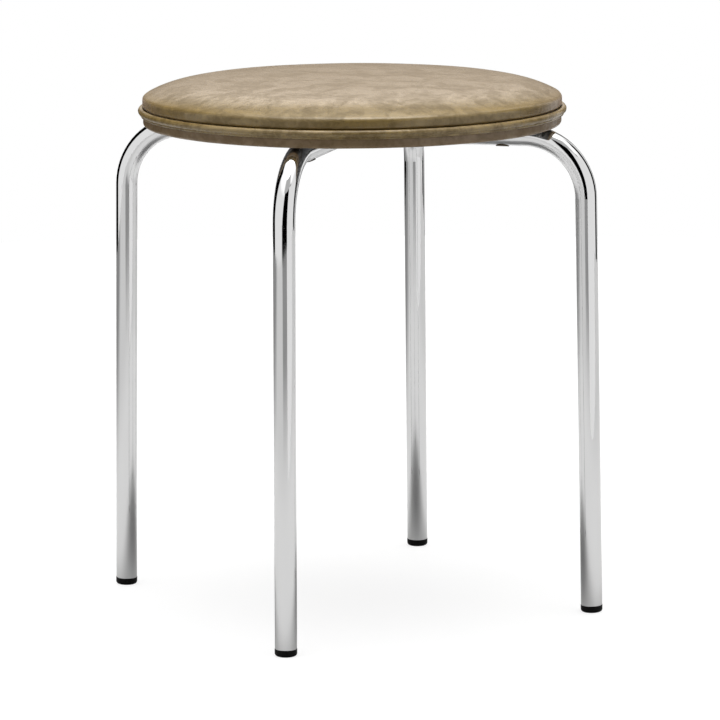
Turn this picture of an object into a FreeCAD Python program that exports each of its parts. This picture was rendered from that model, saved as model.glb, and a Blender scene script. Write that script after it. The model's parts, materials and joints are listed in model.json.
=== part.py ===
import FreeCAD, Part
import math
import os

# Round upholstered stool on four chromed tube legs.
# Millimetres, +Z up, origin on the floor under the middle of the seat.
# The left and right legs lie along X, the front leg at -Y and the rear leg at +Y.

# Tube frame
TUBE_OD = 18.0
TUBE_WALL = 1.5
FRAME_HEIGHT = 412.5          # floor to the top of the crossing runs
BEND_R = 52.0                 # radius of the tube's centre line in the bends
LEG_SPLAY_DEG = 1.0           # lean of each leg away from the seat
WELD_GAP = 0.3                # root gap where a half run meets the main tube
WELD_LEG = 2.5                # how far a weld bead stands out of its corner
WELD_FLUSH = 1.0              # the beads stop this far below and above the tubes' tangent planes
ACCESS_HOLE_D = 10.0          # hole in a run's lower wall, for the screwdriver and the screw's head
SCREW_HOLE_D = 5.5            # hole in a run's upper wall
SCREW_CIRCLE_R = 130.0        # screws from the stool's axis

# Foot caps
CAP_FLANGE_H = 6.0
CAP_OVERHANG = 0.2            # flange past the tube's wall
CAP_EDGE_R = 2.5              # rounding of the lower rim
CAP_PLUG_LENGTH = 16.0
CAP_PLUG_D = 13.0
CAP_RIB_COUNT = 3
CAP_RIB_H = 1.6
CAP_RIB_FIT = 0.05            # rib to the tube's bore
CAP_SOLE_SPARE = 1.0          # the cap is cut flat on the floor out of this much extra length

# Plugs that close the access holes
PLUG_HEAD_D = 11.0
PLUG_HEAD_T = 0.8
PLUG_FIT = 0.05               # stem in its hole, head on the tube
PLUG_WALL = 1.2
PLUG_LIP = 0.35               # snap lip past the hole's edge
PLUG_LIP_H = 1.0
PLUG_LIP_FIT = 0.1            # lip above the hole's highest inner edge

# Screws and tee nuts
SCREW_D = 5.0
SCREW_HEAD_D = 9.5
SCREW_HEAD_H = 3.7
SCREW_HEAD_EDGE_R = 1.2
SCREW_TIP_BELOW_TOP = 1.0     # the screw ends this far below the board's top
RECESS_LENGTH = 5.0
RECESS_WIDTH = 1.2
RECESS_DEPTH = 2.0
SEATING_FIT = 0.05            # head to the tube, screw to the nut
NUT_BARREL_D = 6.5
NUT_BARREL_LENGTH = 7.0
NUT_FLANGE_D = 15.0
NUT_FLANGE_T = 1.2

# Seat board and what lies round its rim
BOARD_D = 346.2
BOARD_T = 9.0
RIM_STRIP_T = 2.1
RIM_STRIP_W = 4.0
LEATHER_T = 0.8
DUST_COVER_T = 0.3
SEAT_FIT = 0.1                # tubes to the dust cover
LAYER_FIT = 0.1               # between layers of leatherette
RIM_CLEARANCE = 0.4           # bends to the band at the rim
DUST_CLEARANCE = 0.2          # bends to the dust cover's rim
BAND_CORNER_R = 3.2           # band's lower corner, at the middle of the leatherette
HEM_FOLD_R = 1.6              # both turns of the hem, at the middle of the leatherette
FLANGE_SETBACK = 1.0          # hidden flanges end this far above the board's underside
DUST_STEP = 2.5               # length over which the dust cover drops to pass under the hem
HEM_SETBACK = 0.3             # hem's edge past that step
DUST_LAP = 2.0                # dust cover under the hem

# Piping
CORD_D = 3.4
CORD_FIT = 0.3                # cord in its cover
PIPING_STANDOFF = 0.3         # roll from the cover's skirt
PIPING_RISE = 0.4             # middle of the cord above the board's top
RIDGE_R = 1.2                 # small ridge under the roll
RIDGE_DROP = 3.5              # middle of the ridge below the middle of the cord
RIDGE_PROUD = 1.0             # middle of the ridge past the band
BAND_TOP_GAP = 0.1            # band's top edge below the ridge

# Cushion
CUSHION_H = 28.1              # board's top to the crown
CROWN_DROP = 3.4              # fall from the crown to the start of the shoulder
SHOULDER_W = 38.2             # shoulder, from the crown's rim to the edge line
EDGE_PROUD = 1.5              # edge line past the board
EDGE_RISE = 12.4              # edge line above the board's top
SIDE_BULGE = 1.7              # fullness of the side between the edge line and the tuck
TUCK_PROUD = 1.3              # where the side turns in behind the piping
TUCK_RISE = 3.0
SKIRT_DROP = 0.8              # from that turn down to the start of the cover's hidden skirt
WADDING_T = 3.0

# Staples
STAPLE_CROWN = 9.0
STAPLE_LEG = 5.5
STAPLE_WIRE_T = 0.7
STAPLE_WIRE_W = 0.9
BAND_STAPLE_COUNT = 32
BAND_STAPLE_SETBACK = 1.3     # from the hem's fold
DUST_STAPLE_COUNT = 16
DUST_STAPLE_SETBACK = 1.0     # from the hem's inner edge

# Heights
tube_r = TUBE_OD / 2
bore_r = tube_r - TUBE_WALL
run_z = FRAME_HEIGHT - tube_r
dust_bottom_z = FRAME_HEIGHT + SEAT_FIT
board_bottom_z = dust_bottom_z + DUST_COVER_T
board_top_z = board_bottom_z + BOARD_T
hem_bottom_z = board_bottom_z - LEATHER_T
dust_rim_bottom_z = hem_bottom_z - DUST_COVER_T
strip_bottom_z = board_bottom_z - RIM_STRIP_T
band_bottom_z = strip_bottom_z - LAYER_FIT / 2 - LEATHER_T
flange_bottom_z = board_bottom_z + FLANGE_SETBACK
cord_z = board_top_z + PIPING_RISE
ridge_z = cord_z - RIDGE_DROP
band_top_z = ridge_z - RIDGE_R - BAND_TOP_GAP

# Radii, from the board's edge outwards and inwards
board_r = BOARD_D / 2
skirt_in = board_r + LAYER_FIT
skirt_out = skirt_in + LEATHER_T
flange_in = skirt_out + LAYER_FIT
flange_out = flange_in + LEATHER_T
band_in = flange_out + LAYER_FIT
band_middle = band_in + LEATHER_T / 2
band_out = band_in + LEATHER_T
cord_hollow_r = CORD_D / 2 + CORD_FIT
roll_r = cord_hollow_r + LEATHER_T
cord_path_r = flange_in + PIPING_STANDOFF + roll_r
ridge_path_r = band_out + RIDGE_PROUD
strip_out = band_middle - BAND_CORNER_R
strip_in = strip_out - RIM_STRIP_W

# The hem climbs from under the strip to the board in two equal turns
hem_turn = math.acos(1 - (hem_bottom_z - band_bottom_z) / (2 * HEM_FOLD_R))
hem_fold_in = strip_in - 2 * HEM_FOLD_R * math.sin(hem_turn)

# The bends start where the tube has dropped clear of the band at the rim
outer_bend_r = BEND_R + tube_r


def reach_for_drop(drop):
    """Distance along a bend's top over which the tube falls by this drop."""
    return math.sqrt(2 * outer_bend_r * drop - drop * drop)


bend_start_r = strip_in - reach_for_drop(FRAME_HEIGHT - band_bottom_z + RIM_CLEARANCE)
bend_centre_z = run_z - BEND_R
dust_rim_in = bend_start_r + reach_for_drop(FRAME_HEIGHT - dust_rim_bottom_z + DUST_CLEARANCE)
hem_in = dust_rim_in + HEM_SETBACK
dust_rim_out = hem_in + DUST_LAP

splay = math.radians(LEG_SPLAY_DEG)
leg_top_r = bend_start_r + BEND_R * math.cos(splay)
leg_top_z = bend_centre_z + BEND_R * math.sin(splay)
leg_length = leg_top_z / math.cos(splay)
foot_r = leg_top_r + leg_length * math.sin(splay)
LEG_ANGLES = {"right": 0, "rear": 90, "left": 180, "front": 270}

X_AXIS = FreeCAD.Vector(1, 0, 0)
Y_AXIS = FreeCAD.Vector(0, 1, 0)
Z_AXIS = FreeCAD.Vector(0, 0, 1)
ORIGIN = FreeCAD.Vector(0, 0, 0)


def point(r, z):
    """Point in the upright half plane through +X."""
    return FreeCAD.Vector(r, 0, z)


def turned(shape, degrees):
    """Copy of a shape turned about the stool's axis."""
    copy = shape.copy()
    copy.rotate(ORIGIN, Z_AXIS, degrees)
    return copy


def ring(shape, count, first_angle):
    """The same piece repeated evenly about the stool's axis."""
    return [turned(shape, first_angle + 360.0 * k / count) for k in range(count)]


def lines(points):
    """Straight edges through a list of points."""
    return [Part.LineSegment(a, b).toShape() for a, b in zip(points, points[1:])]


def polygon(corners):
    """Plane face with these corners, given as (radius, height)."""
    outline = [point(r, z) for r, z in corners]
    return Part.Face(Part.Wire(lines(outline + outline[:1])))


def rectangle(r0, r1, z0, z1):
    """Plane face between two radii and two heights."""
    return polygon([(r0, z0), (r1, z0), (r1, z1), (r0, z1)])


def disc_section(r, z, radius):
    """Round section of a ring, in the upright half plane."""
    return Part.Face(Part.Wire(Part.makeCircle(radius, point(r, z), Y_AXIS)))


def arc_between(centre, radius, first_deg, last_deg):
    """Arc in the half plane, with angles measured from +X towards +Z."""
    spots = []
    for degrees in (first_deg, (first_deg + last_deg) / 2, last_deg):
        angle = math.radians(degrees)
        spots.append(centre + point(radius * math.cos(angle), radius * math.sin(angle)))
    return Part.Arc(*spots).toShape()


def enclosed(edges):
    """Plane face inside edges that are given in any order."""
    return Part.Face(Part.Wire(Part.__sortEdges__(edges)))


def revolved(face):
    """Solid of a section turned once about the stool's axis."""
    return face.revolve(ORIGIN, Z_AXIS, 360)


def upright(radius, x, z0, z1):
    """Upright cylinder on the X axis."""
    return Part.makeCylinder(radius, z1 - z0, FreeCAD.Vector(x, 0, z0), Z_AXIS)


def checked(shape):
    """A single valid solid, or an error that says which step broke."""
    if not shape.isValid() or len(shape.Solids) != 1:
        raise ValueError("piece isn't one valid solid: %d solids" % len(shape.Solids))
    return shape.Solids[0]


# Tube frame

def foot_point(distance):
    """Point on the right leg's axis, this far up from the floor."""
    return point(foot_r - distance * math.sin(splay), distance * math.cos(splay))


def bend_point(degrees):
    """Point on the centre line of the right bend."""
    angle = math.radians(degrees)
    return point(bend_start_r + BEND_R * math.cos(angle), bend_centre_z + BEND_R * math.sin(angle))


def leg_path():
    """Centre line of the right leg and its bend, from the foot upwards."""
    middle = (90 + LEG_SPLAY_DEG) / 2
    leg = Part.LineSegment(foot_point(CAP_FLANGE_H), bend_point(LEG_SPLAY_DEG))
    bend = Part.Arc(bend_point(LEG_SPLAY_DEG), bend_point(middle), bend_point(90))
    return [leg.toShape(), bend.toShape()]


def mirrored(edges):
    """The same centre line on the left leg, from the bend down to the foot."""
    return [edge.mirror(ORIGIN, X_AXIS) for edge in reversed(edges)]


def swept(path):
    """Tube along a centre line of straight runs and tangent arcs that starts up the right leg."""
    wire = Part.Wire(path)
    leg_direction = foot_point(1) - foot_point(0)
    solids = []
    for radius in (tube_r, bore_r):
        section = Part.Wire(Part.makeCircle(radius, foot_point(CAP_FLANGE_H), leg_direction))
        solids.append(wire.makePipeShell([section], True, False))
    tube = checked(solids[0].cut(solids[1]))
    ideal = math.pi * (tube_r ** 2 - bore_r ** 2) * wire.Length
    print("tube %.1f mm long, volume over section times length %.5f" % (wire.Length, tube.Volume / ideal))
    return tube


def screw_holes(tube, sides):
    """Cut the access hole and the screw hole of each run."""
    for side in sides:
        x = side * SCREW_CIRCLE_R
        tube = tube.cut(upright(ACCESS_HOLE_D / 2, x, run_z - TUBE_OD, run_z))
        tube = tube.cut(upright(SCREW_HOLE_D / 2, x, run_z, run_z + TUBE_OD))
    return checked(tube)


def run_cylinder(radius, direction):
    """Cylinder on the axis of a run, right across the seat."""
    start = direction * -board_r + Z_AXIS * run_z
    return Part.makeCylinder(radius, 2 * board_r, start, direction)


def main_tube():
    """Left leg, run and right leg, bent from one tube."""
    right = leg_path()
    run = Part.LineSegment(bend_point(90), point(-bend_start_r, run_z)).toShape()
    path = right + [run] + mirrored(right)
    return screw_holes(swept(path), (1, -1))


def half_tube():
    """A leg with a half run, coped to sit on the side of the main tube; made at the right."""
    run = Part.LineSegment(bend_point(90), point(0, run_z)).toShape()
    coped = swept(leg_path() + [run]).cut(run_cylinder(tube_r + WELD_GAP, Y_AXIS))
    return screw_holes(checked(coped), (1,))


def hole_plug():
    """Snap-in plug of the right run: a saddle-shaped head that lies on the tube, and a hollow stem."""
    stem_r = ACCESS_HOLE_D / 2 - PLUG_FIT
    lip_r = ACCESS_HOLE_D / 2 + PLUG_LIP
    lip_z = run_z - math.sqrt(bore_r ** 2 - lip_r ** 2) + PLUG_LIP_FIT
    top_z = lip_z + PLUG_LIP_H
    saddle = run_cylinder(tube_r + PLUG_HEAD_T, X_AXIS).cut(run_cylinder(tube_r + PLUG_FIT, X_AXIS))
    head = saddle.common(upright(PLUG_HEAD_D / 2, SCREW_CIRCLE_R, run_z - TUBE_OD, run_z))
    stem = upright(stem_r, SCREW_CIRCLE_R, run_z - TUBE_OD, top_z)
    stem = stem.common(run_cylinder(tube_r + PLUG_HEAD_T, X_AXIS))
    lip = Part.makeCone(lip_r, stem_r, PLUG_LIP_H, point(SCREW_CIRCLE_R, lip_z), Z_AXIS)
    hollow = upright(stem_r - PLUG_WALL, SCREW_CIRCLE_R, run_z - bore_r, top_z)
    return checked(head.fuse([stem, lip]).cut(hollow).removeSplitter())


def weld_beads():
    """Fillet welds in the four upright corners of the cross, ground flush above and below."""
    reach = tube_r + WELD_LEG
    thick = run_cylinder(reach, X_AXIS).common(run_cylinder(reach, Y_AXIS))
    corners = thick.cut(run_cylinder(tube_r, X_AXIS)).cut(run_cylinder(tube_r, Y_AXIS))
    half_height = tube_r - WELD_FLUSH
    slab = upright(2 * reach, 0, run_z - half_height, run_z + half_height)
    beads = corners.common(slab).Solids
    if len(beads) != 4:
        raise ValueError("expected a weld bead in each corner of the cross")
    return Part.makeCompound(beads)


def foot_cap():
    """End cap pushed into the right leg: a flange with a rounded rim and a ribbed plug."""
    flange_r = tube_r + CAP_OVERHANG
    sole_r = flange_r - CAP_EDGE_R
    plug_r = CAP_PLUG_D / 2
    top = CAP_FLANGE_H + CAP_PLUG_LENGTH
    rim = arc_between(point(sole_r, CAP_EDGE_R), CAP_EDGE_R, -90, 0)
    body = lines([
        point(flange_r, CAP_EDGE_R), point(flange_r, CAP_FLANGE_H), point(plug_r, CAP_FLANGE_H),
        point(plug_r, top), point(0, top), point(0, -CAP_SOLE_SPARE), point(sole_r, -CAP_SOLE_SPARE),
        point(sole_r, 0),
    ])
    pitch = CAP_PLUG_LENGTH / (CAP_RIB_COUNT + 1)
    ribs = []
    for k in range(CAP_RIB_COUNT):
        height = CAP_FLANGE_H + (k + 1) * pitch - CAP_RIB_H / 2
        ribs.append(Part.makeCone(bore_r - CAP_RIB_FIT, plug_r, CAP_RIB_H, point(0, height), Z_AXIS))
    cap = revolved(enclosed([rim] + body)).fuse(ribs)
    cap.rotate(ORIGIN, Y_AXIS, -LEG_SPLAY_DEG)
    cap.translate(foot_point(0))
    below_floor = upright(2 * TUBE_OD, foot_r, -TUBE_OD, 0)
    return checked(cap.cut(below_floor))


# Screws and tee nuts

def seat_screw():
    """Pan head screw with a cross recess, put in from below through the tube."""
    head_r = SCREW_HEAD_D / 2
    flat_r = head_r - SCREW_HEAD_EDGE_R
    shank_r = SCREW_D / 2
    head_top_z = run_z + math.sqrt(bore_r ** 2 - head_r ** 2) - SEATING_FIT
    head_bottom_z = head_top_z - SCREW_HEAD_H
    edge_z = head_bottom_z + SCREW_HEAD_EDGE_R
    tip_z = board_top_z - SCREW_TIP_BELOW_TOP
    rim = arc_between(point(flat_r, edge_z), SCREW_HEAD_EDGE_R, -90, 0)
    body = lines([
        point(head_r, edge_z), point(head_r, head_top_z), point(shank_r, head_top_z),
        point(shank_r, tip_z), point(0, tip_z), point(0, head_bottom_z), point(flat_r, head_bottom_z),
    ])
    screw = revolved(enclosed([rim] + body))
    for length, width in ((RECESS_LENGTH, RECESS_WIDTH), (RECESS_WIDTH, RECESS_LENGTH)):
        corner = FreeCAD.Vector(-length / 2, -width / 2, head_bottom_z)
        screw = screw.cut(Part.makeBox(length, width, RECESS_DEPTH, corner))
    screw.translate(X_AXIS * SCREW_CIRCLE_R)
    return checked(screw)


def tee_nut():
    """Flange sunk flush in the board's top, with a barrel down into the board."""
    flange_z = board_top_z - NUT_FLANGE_T
    flange = upright(NUT_FLANGE_D / 2, SCREW_CIRCLE_R, flange_z, board_top_z)
    barrel = upright(NUT_BARREL_D / 2, SCREW_CIRCLE_R, flange_z - NUT_BARREL_LENGTH, flange_z)
    bore = upright(SCREW_D / 2 + SEATING_FIT, SCREW_CIRCLE_R, flange_z - NUT_BARREL_LENGTH, board_top_z)
    return checked(flange.fuse(barrel).cut(bore))


# Cushion: the crown, the shoulder and the side are three arcs, and each layer is offset inwards

def point_on(centre, radius, towards):
    """Point of a circle in the direction of another point."""
    direction = (towards - centre).normalize()
    return centre + direction * radius


def crossing(centre_a, radius_a, centre_b, radius_b, near):
    """The crossing of two circles that lies nearest to a point."""
    axis = centre_b - centre_a
    gap = axis.Length
    along = (gap ** 2 + radius_a ** 2 - radius_b ** 2) / (2 * gap)
    across = math.sqrt(radius_a ** 2 - along ** 2)
    axis.normalize()
    normal = FreeCAD.Vector(-axis.z, 0, axis.x)
    middle = centre_a + axis * along
    return min((middle + normal * across, middle - normal * across), key=lambda p: (p - near).Length)


crown_top = point(0, board_top_z + CUSHION_H)
edge_line = point(board_r + EDGE_PROUD, board_top_z + EDGE_RISE)
crown_rim = point(edge_line.x - SHOULDER_W, crown_top.z - CROWN_DROP)
tuck = point(board_r + TUCK_PROUD, board_top_z + TUCK_RISE)
side_full = (edge_line + tuck) * 0.5 + X_AXIS * SIDE_BULGE

crown_radius = (crown_rim.x ** 2 + CROWN_DROP ** 2) / (2 * CROWN_DROP)
crown_centre = point(0, crown_top.z - crown_radius)
side_circle = Part.Circle(edge_line, side_full, tuck)
side_centre = side_circle.Center
side_radius = side_circle.Radius

# The shoulder's arc leaves the crown without a crease and ends on the edge line
inward = (crown_centre - crown_rim).normalize()
chord = edge_line - crown_rim
shoulder_radius = chord.Length ** 2 / (2 * chord.dot(inward))
shoulder_centre = crown_rim + inward * shoulder_radius


def crown_and_shoulder(inset, last):
    """Crown and shoulder arcs of a layer, down to the last point on the shoulder."""
    top = crown_top - Z_AXIS * inset
    rim = point_on(crown_centre, crown_radius - inset, crown_rim)
    arcs = []
    for centre, radius, a, b in (
        (crown_centre, crown_radius - inset, top, rim),
        (shoulder_centre, shoulder_radius - inset, rim, last),
    ):
        arcs.append(Part.Arc(a, point_on(centre, radius, (a + b) * 0.5), b).toShape())
    return arcs, top


def full_outline(inset):
    """Crown, shoulder and rounded side down to the tuck, with the outline's two end points."""
    radius = side_radius - inset
    edge = crossing(shoulder_centre, shoulder_radius - inset, side_centre, radius, edge_line)
    end = point_on(side_centre, radius, tuck)
    arcs, top = crown_and_shoulder(inset, edge)
    side = Part.Arc(edge, point_on(side_centre, radius, side_full), end).toShape()
    return arcs + [side], top, end


def straight_outline(inset, side_r, end_z):
    """Crown, shoulder and upright side down to a height, with the outline's two end points."""
    radius = shoulder_radius - inset
    edge_z = shoulder_centre.z + math.sqrt(radius ** 2 - (side_r - shoulder_centre.x) ** 2)
    edge = point(side_r, edge_z)
    end = point(side_r, end_z)
    arcs, top = crown_and_shoulder(inset, edge)
    return arcs + lines([edge, end]), top, end


wadding_inset = LEATHER_T + LAYER_FIT
foam_gap_inset = wadding_inset + WADDING_T
foam_inset = foam_gap_inset + LAYER_FIT


def seat_cover():
    """Leatherette over the cushion, with a skirt that goes down between the board and the band."""
    outer, outer_top, outer_end = full_outline(0)
    inner, inner_top, inner_end = full_outline(LEATHER_T)
    skirt_top_z = tuck.z - SKIRT_DROP
    skirt = lines([
        outer_end, point(skirt_out, skirt_top_z), point(skirt_out, flange_bottom_z),
        point(skirt_in, flange_bottom_z), point(skirt_in, skirt_top_z), inner_end,
    ])
    return checked(revolved(enclosed(outer + skirt + inner + lines([inner_top, outer_top]))))


def wadding_layer():
    """Wadding from the cover in to the foam, ending at the tuck."""
    outer, outer_top, outer_end = full_outline(wadding_inset)
    inner, inner_top, inner_end = straight_outline(foam_gap_inset, tuck.x - foam_gap_inset, outer_end.z)
    ends = lines([inner_top, outer_top]) + lines([outer_end, inner_end])
    return checked(revolved(enclosed(outer + inner + ends)))


def foam_pad():
    """Foam from the board up to the wadding, with the crown and the shoulder of the cushion."""
    outline, top, end = straight_outline(foam_inset, tuck.x - foam_inset, board_top_z)
    return checked(revolved(enclosed(outline + lines([end, point(0, board_top_z), top]))))


# Board, band, piping and dust cover

def seat_board(staples):
    """Plywood disc with a stepped hole for each tee nut and the staples' holes."""
    board = revolved(rectangle(0, board_r, board_bottom_z, board_top_z))
    hole = upright(NUT_BARREL_D / 2 + SEATING_FIT, SCREW_CIRCLE_R, board_bottom_z, board_top_z)
    sink = upright(NUT_FLANGE_D / 2 + SEATING_FIT, SCREW_CIRCLE_R, board_top_z - NUT_FLANGE_T, board_top_z)
    holes = ring(hole.fuse(sink), len(LEG_ANGLES), 0)
    return checked(board.cut(holes).cut(staples))


def rim_strip():
    """Tacking strip under the board's rim, which the band's hem wraps."""
    return checked(revolved(rectangle(strip_in, strip_out, strip_bottom_z, board_bottom_z)))


def band_side(offset):
    """Band from its top edge to the hem's inner edge, offset from the leatherette's middle line."""
    bottom_z = band_bottom_z + LEATHER_T / 2
    hem_z = hem_bottom_z + LEATHER_T / 2
    turn = math.degrees(hem_turn)
    corner = arc_between(point(strip_out, bottom_z + BAND_CORNER_R), BAND_CORNER_R + offset, 0, -90)
    fold_low = arc_between(point(strip_in, bottom_z + HEM_FOLD_R), HEM_FOLD_R + offset, -90, -90 - turn)
    fold_high = arc_between(point(hem_fold_in, hem_z - HEM_FOLD_R), HEM_FOLD_R - offset, 90 - turn, 90)
    top = point(band_middle + offset, band_top_z)
    end = point(hem_in, hem_z - offset)
    runs = lines([top, point(band_middle + offset, bottom_z + BAND_CORNER_R)])
    runs += lines([point(strip_out, bottom_z - offset), point(strip_in, bottom_z - offset)])
    runs += lines([point(hem_fold_in, hem_z - offset), end])
    return [corner, fold_low, fold_high] + runs, top, end


def side_band(staples):
    """Leatherette strip down the rim, round the tacking strip and under the board."""
    outer, outer_top, outer_end = band_side(LEATHER_T / 2)
    inner, inner_top, inner_end = band_side(-LEATHER_T / 2)
    ends = lines([outer_top, inner_top]) + lines([outer_end, inner_end])
    return checked(revolved(enclosed(outer + inner + ends)).cut(staples))


def piping_cord():
    """Round core of the piping."""
    return checked(revolved(disc_section(cord_path_r, cord_z, CORD_D / 2)))


def piping_cover():
    """Leatherette roll round the cord, with the small ridge below it and the hidden flange."""
    roll = disc_section(cord_path_r, cord_z, roll_r)
    ridge = disc_section(ridge_path_r, ridge_z, RIDGE_R)
    web = polygon([
        (flange_in, cord_z), (cord_path_r, cord_z), (ridge_path_r, ridge_z), (flange_in, ridge_z),
    ])
    flange = rectangle(flange_in, flange_out, flange_bottom_z, ridge_z + RIDGE_R)
    hollow = disc_section(cord_path_r, cord_z, cord_hollow_r)
    section = roll.fuse([ridge, web, flange]).cut(hollow).removeSplitter()
    return checked(revolved(section))


def dust_cover(staples):
    """Cloth disc on the board's underside, stepped down to pass under the hem, holed for the screws."""
    step_in = dust_rim_in - DUST_STEP
    section = polygon([
        (0, dust_bottom_z), (step_in, dust_bottom_z), (dust_rim_in, dust_rim_bottom_z),
        (dust_rim_out, dust_rim_bottom_z), (dust_rim_out, hem_bottom_z), (dust_rim_in, hem_bottom_z),
        (step_in, board_bottom_z), (0, board_bottom_z),
    ])
    hole = upright(SCREW_HOLE_D / 2, SCREW_CIRCLE_R, dust_bottom_z, board_bottom_z)
    return checked(revolved(section).cut(ring(hole, len(LEG_ANGLES), 0)).cut(staples))


def staples(count, radius, seat_z, first_angle):
    """Ring of staples with their crowns against a layer and their legs up in the board."""
    half = STAPLE_CROWN / 2
    inside = half - STAPLE_WIRE_T
    low = seat_z - STAPLE_WIRE_T
    high = seat_z + STAPLE_LEG
    corners = [
        (-half, low), (half, low), (half, high), (inside, high),
        (inside, seat_z), (-inside, seat_z), (-inside, high), (-half, high),
    ]
    outline = [FreeCAD.Vector(radius - STAPLE_WIRE_W / 2, y, z) for y, z in corners]
    profile = Part.Face(Part.Wire(lines(outline + outline[:1])))
    return ring(profile.extrude(FreeCAD.Vector(STAPLE_WIRE_W, 0, 0)), count, first_angle)


def main():
    """Build every piece and write it to a file of its own."""
    os.makedirs("parts", exist_ok=True)
    band_staples = staples(BAND_STAPLE_COUNT, hem_fold_in - BAND_STAPLE_SETBACK, hem_bottom_z, 0)
    half_step = 180.0 / DUST_STAPLE_COUNT
    dust_staples = staples(DUST_STAPLE_COUNT, hem_in + DUST_STAPLE_SETBACK, dust_rim_bottom_z, half_step)
    all_staples = band_staples + dust_staples
    arm = half_tube()
    cap = foot_cap()
    pieces = {
        "main_tube": main_tube(),
        "front_leg_tube": turned(arm, LEG_ANGLES["front"]),
        "rear_leg_tube": turned(arm, LEG_ANGLES["rear"]),
        "weld_beads": weld_beads(),
        "hole_plugs": Part.makeCompound(ring(hole_plug(), len(LEG_ANGLES), 0)),
        "seat_screws": Part.makeCompound(ring(seat_screw(), len(LEG_ANGLES), 0)),
        "tee_nuts": Part.makeCompound(ring(tee_nut(), len(LEG_ANGLES), 0)),
        "seat_board": seat_board(all_staples),
        "rim_strip": rim_strip(),
        "foam_pad": foam_pad(),
        "wadding_layer": wadding_layer(),
        "seat_cover": seat_cover(),
        "piping_cord": piping_cord(),
        "piping_cover": piping_cover(),
        "side_band": side_band(all_staples),
        "band_staples": Part.makeCompound(band_staples),
        "dust_cover": dust_cover(dust_staples),
        "dust_cover_staples": Part.makeCompound(dust_staples),
    }
    for side, angle in LEG_ANGLES.items():
        pieces["foot_cap_" + side] = turned(cap, angle)
    for name, shape in pieces.items():
        shape.exportStep("parts/%s.step" % name)
    print("foot circle %.1f, bends start at %.1f" % (2 * foot_r, bend_start_r))
    print("seat across the piping %.1f, height %.1f" % (2 * (cord_path_r + roll_r), crown_top.z))


main()
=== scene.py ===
"""Dresses a round upholstered stool: leatherette seat, chromed tube frame and a plain pale studio."""

import json
import math

import bpy
import numpy as np
from mathutils import Euler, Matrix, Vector

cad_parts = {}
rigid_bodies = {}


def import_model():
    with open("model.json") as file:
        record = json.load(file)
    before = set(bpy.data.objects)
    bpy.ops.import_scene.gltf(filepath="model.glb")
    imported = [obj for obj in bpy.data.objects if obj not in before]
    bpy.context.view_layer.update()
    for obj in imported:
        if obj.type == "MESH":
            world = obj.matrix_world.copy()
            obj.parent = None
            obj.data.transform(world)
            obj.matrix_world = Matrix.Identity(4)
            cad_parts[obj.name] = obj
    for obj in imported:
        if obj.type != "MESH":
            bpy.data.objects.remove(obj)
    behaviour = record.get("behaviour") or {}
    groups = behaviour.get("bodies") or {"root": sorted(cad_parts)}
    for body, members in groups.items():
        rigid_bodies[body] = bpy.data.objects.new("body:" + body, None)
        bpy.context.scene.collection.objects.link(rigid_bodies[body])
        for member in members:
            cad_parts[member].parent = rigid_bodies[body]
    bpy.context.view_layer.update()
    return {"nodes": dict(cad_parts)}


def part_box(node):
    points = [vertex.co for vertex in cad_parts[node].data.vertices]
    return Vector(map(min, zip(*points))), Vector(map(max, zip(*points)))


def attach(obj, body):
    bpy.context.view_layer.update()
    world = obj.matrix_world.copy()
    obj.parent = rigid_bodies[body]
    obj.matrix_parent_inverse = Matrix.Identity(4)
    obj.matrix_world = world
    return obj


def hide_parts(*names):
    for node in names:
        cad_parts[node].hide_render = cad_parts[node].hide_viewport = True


bl_info = {
    "name": "Round upholstered stool",
    "version": (1, 0, 0),
    "blender": (4, 5, 0),
    "location": "View3D > Sidebar > Stool",
    "description": "Builds the soft pieces and the finishes of a round stool, and a studio to show it in",
    "category": "Object",
}

for leftover in list(bpy.data.objects):
    bpy.data.objects.remove(leftover)

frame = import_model()

cover_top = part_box("seat_cover")[1]
board_low, board_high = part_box("seat_board")
piping_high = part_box("piping_cover")[1]
band_low, band_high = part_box("side_band")
strip_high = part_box("rim_strip")[1]
dust_low, dust_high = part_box("dust_cover")


# Settings

def length(name, description, default):
    """A size in metres."""
    return bpy.props.FloatProperty(
        name=name, description=description, default=default, unit="LENGTH", precision=5)


def angle(name, description, degrees):
    """An angle, given in degrees and kept in radians."""
    return bpy.props.FloatProperty(
        name=name, description=description, default=math.radians(degrees), unit="ROTATION")


def amount(name, description, default):
    """A plain number."""
    return bpy.props.FloatProperty(name=name, description=description, default=default, precision=4)


def colour(name, description, default):
    """A linear colour."""
    return bpy.props.FloatVectorProperty(
        name=name, description=description, default=default, subtype="COLOR", size=3, min=0, max=1)


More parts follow.
